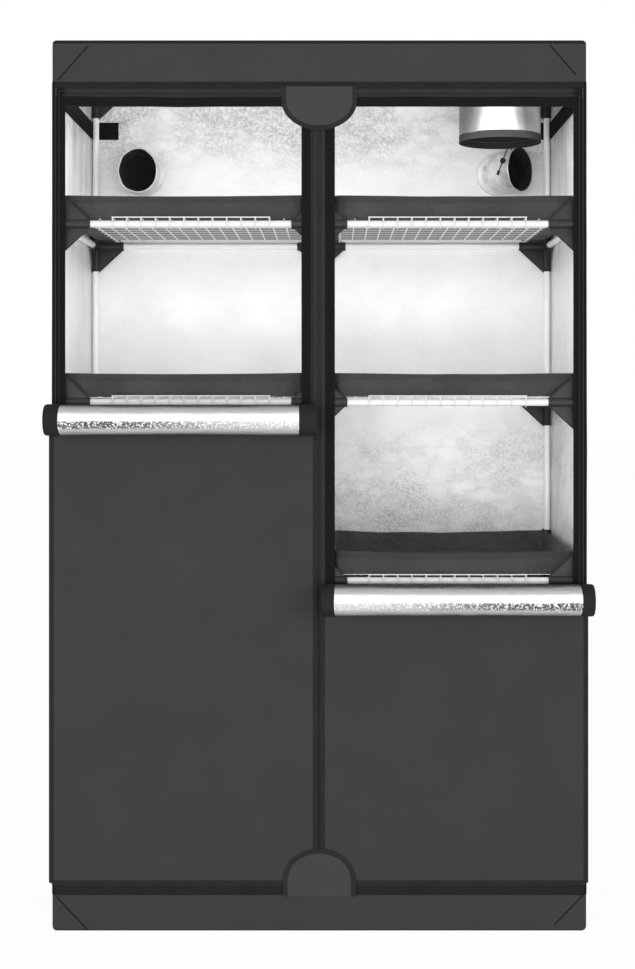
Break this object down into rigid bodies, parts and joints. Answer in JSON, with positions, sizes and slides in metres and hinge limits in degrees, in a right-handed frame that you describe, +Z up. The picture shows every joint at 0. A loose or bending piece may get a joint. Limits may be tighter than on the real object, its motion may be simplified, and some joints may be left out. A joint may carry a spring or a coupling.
{
  "type": "indoor grow tent",
  "caption": "Tall fabric grow tent on a tube frame with wire shelves, cloth trays, duct sleeves and two doors that roll down from the top.",
  "frame": {"origin": "on the ground under the middle of the whole object, rolled doors included", "axes": "+Z up; the doors face -Y; +X to the right of someone who faces the doors"},
  "size_m": [1.217, 0.6769, 2],
  "materials": {
    "oxford_cloth": "matt woven",
    "silver_foil": "crinkled foil lining",
    "black_webbing": "matt webbing",
    "tray_cloth": "matt woven",
    "white_tube": "white powder coat",
    "black_plastic": "satin plastic"
  },
  "bodies": {
    "tent": {"post_front_left": "white_tube", "post_back_left": "white_tube", "post_front_centre": "white_tube", "post_back_centre": "white_tube", "post_front_right": "white_tube", "post_back_right": "white_tube", "shelf_frame_1": "white_tube", "shelf_frame_2": "white_tube", "shelf_frame_3": "white_tube", "shelf_frame_4": "white_tube", "floor_frame": "white_tube", "top_frame": "white_tube", "wire_grid_left_1": "white_tube", "wire_grid_right_1": "white_tube", "wire_grid_left_2": "white_tube", "wire_grid_right_2": "white_tube", "wire_grid_left_3": "white_tube", "wire_grid_right_3": "white_tube", "wire_grid_left_4": "white_tube", "wire_grid_right_4": "white_tube", "roof_cap": "oxford_cloth", "floor_tub": "oxford_cloth", "left_wall": "oxford_cloth", "right_wall": "oxford_cloth", "back_wall": "oxford_cloth", "front_surround": "oxford_cloth", "left_door_panel": "oxford_cloth", "right_door_panel": "oxford_cloth", "roof_sleeve": "silver_foil", "rear_sleeve_left": "silver_foil", "rear_sleeve_right": "silver_foil", "left_zip": "black_webbing", "right_zip": "black_webbing", "left_band": "black_webbing", "right_band": "black_webbing", "roof_sleeve_hem": "black_webbing", "roof_closure": "black_webbing", "rear_closure_left": "black_webbing", "rear_closure_right": "black_webbing", "drawcord": "black_webbing", "cord_end": "black_plastic"},
    "left_sliders": {"left_zip_slider_inner": "black_plastic", "left_zip_slider_outer": "black_plastic"},
    "left_roll": {"left_door_roll": "silver_foil"},
    "right_sliders": {"right_zip_slider_inner": "black_plastic", "right_zip_slider_outer": "black_plastic"},
    "right_roll": {"right_door_roll": "silver_foil"},
    "upper_flap": {"upper_flap": "oxford_cloth"},
    "lower_flap": {"lower_flap": "oxford_cloth"},
    "cord_lock": {"cord_lock": "black_plastic"},
    "cord_plunger": {"cord_plunger": "black_plastic"},
    "tray_left_1": {"tray_left_1": "tray_cloth"},
    "tray_right_1": {"tray_right_1": "tray_cloth"},
    "tray_left_2": {"tray_left_2": "tray_cloth"},
    "tray_right_2": {"tray_right_2": "tray_cloth"},
    "tray_left_3": {"tray_left_3": "tray_cloth"},
    "tray_right_3": {"tray_right_3": "tray_cloth"},
    "tray_left_4": {"tray_left_4": "tray_cloth"},
    "tray_right_4": {"tray_right_4": "tray_cloth"}
  },
  "joints": [
    {"name": "left_door_slide", "type": "slide", "parent": "tent", "child": "left_sliders", "axis": [0, 0, 1], "range_m": [-0.918, 0.711], "deforming": ["left_door_panel"]},
    {"name": "left_roll_turn", "type": "hinge", "parent": "left_sliders", "child": "left_roll", "pos_m": [-0.306, -0.30312, 1.147], "axis": [1, 0, 0], "range_deg": [-1074, 1386]},
    {"name": "right_door_slide", "type": "slide", "parent": "tent", "child": "right_sliders", "axis": [0, 0, 1], "range_m": [-0.519, 1.11], "deforming": ["right_door_panel"]},
    {"name": "right_roll_turn", "type": "hinge", "parent": "right_sliders", "child": "right_roll", "pos_m": [0.306, -0.30312, 0.748], "axis": [1, 0, 0], "range_deg": [-1675, 784]},
    {"name": "tray_left_1_lift", "type": "slide", "parent": "tent", "child": "tray_left_1", "axis": [0, 0, 1], "range_m": [0, 0.3]},
    {"name": "tray_right_1_lift", "type": "slide", "parent": "tent", "child": "tray_right_1", "axis": [0, 0, 1], "range_m": [0, 0.3]},
    {"name": "tray_left_2_lift", "type": "slide", "parent": "tent", "child": "tray_left_2", "axis": [0, 0, 1], "range_m": [0, 0.3]},
    {"name": "tray_right_2_lift", "type": "slide", "parent": "tent", "child": "tray_right_2", "axis": [0, 0, 1], "range_m": [0, 0.3]},
    {"name": "tray_left_3_lift", "type": "slide", "parent": "tent", "child": "tray_left_3", "axis": [0, 0, 1], "range_m": [0, 0.3]},
    {"name": "tray_right_3_lift", "type": "slide", "parent": "tent", "child": "tray_right_3", "axis": [0, 0, 1], "range_m": [0, 0.3]},
    {"name": "tray_left_4_lift", "type": "slide", "parent": "tent", "child": "tray_left_4", "axis": [0, 0, 1], "range_m": [0, 0.06]},
    {"name": "tray_right_4_lift", "type": "slide", "parent": "tent", "child": "tray_right_4", "axis": [0, 0, 1], "range_m": [0, 0.06]},
    {"name": "upper_flap_hinge", "type": "hinge", "parent": "tent", "child": "upper_flap", "pos_m": [0, -0.26403, 1.895], "axis": [-1, 0, 0], "range_deg": [0, 150]},
    {"name": "lower_flap_hinge", "type": "hinge", "parent": "tent", "child": "lower_flap", "pos_m": [0, -0.26593, 0.081], "axis": [1, 0, 0], "range_deg": [0, 110]},
    {"name": "cord_lock_slide", "type": "slide", "parent": "tent", "child": "cord_lock", "axis": [-0.3477, 0, -0.9376], "range_m": [-0.004, 0.016]},
    {"name": "cord_plunger_press", "type": "slide", "parent": "cord_lock", "child": "cord_plunger", "axis": [0, 1, 0], "range_m": [0, 0.0028], "stiffness_N_per_m": 300, "springref_m": -0.002}
  ],
  "couplings": [
    {"joint": "left_roll_turn", "follows": "left_door_slide", "rad_per_m": -26.316},
    {"joint": "right_roll_turn", "follows": "right_door_slide", "rad_per_m": -26.316}
  ]
}
